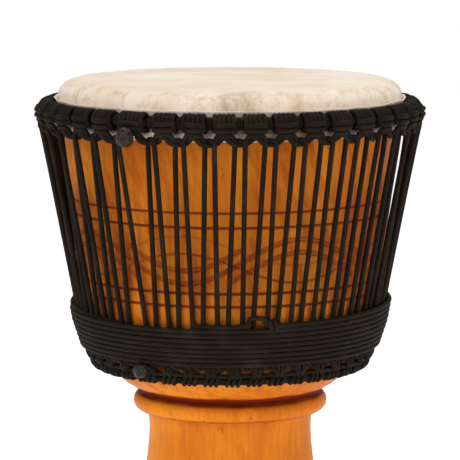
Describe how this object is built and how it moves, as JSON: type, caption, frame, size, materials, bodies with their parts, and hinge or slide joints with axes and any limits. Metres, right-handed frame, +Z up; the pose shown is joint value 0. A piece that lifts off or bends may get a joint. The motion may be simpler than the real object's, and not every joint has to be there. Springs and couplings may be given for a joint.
{
  "type": "djembe",
  "caption": "Goblet-shaped hand drum with a carved wooden shell, a goatskin head and black rope lacing between a crown ring and a bottom ring.",
  "frame": {"origin": "centre of the foot's rim, on the floor", "axes": "+Z up along the drum's axis, front along -Y"},
  "size_m": [0.372, 0.372, 0.635],
  "materials": {
    "wood": "honey-stained carved hardwood under gloss varnish",
    "goatskin": "shaved, sun-dried goatskin, matt",
    "rope": "black braided polyester rope",
    "melted_end": "melted rope end, glossy",
    "ring_cloth": "black cotton strip wound on the ring",
    "steel": "plain steel rod"
  },
  "bodies": {
    "root": {"shell": "wood", "head_skin": "goatskin", "flesh_ring": "steel", "crown_ring": "steel", "bottom_ring": "steel", "crown_ring_wrap": "ring_cloth", "bottom_ring_wrap": "ring_cloth", "crown_rope_knots": "rope", "crown_rope_loops": "rope", "crown_rope_stopper": "rope", "bottom_rope_knots": "rope", "bottom_rope_loops": "rope", "bottom_rope_end": "melted_end", "tuning_rope": "rope", "tuning_rope_tail": "rope", "tuning_rope_hitch": "rope"}
  },
  "joints": []
}
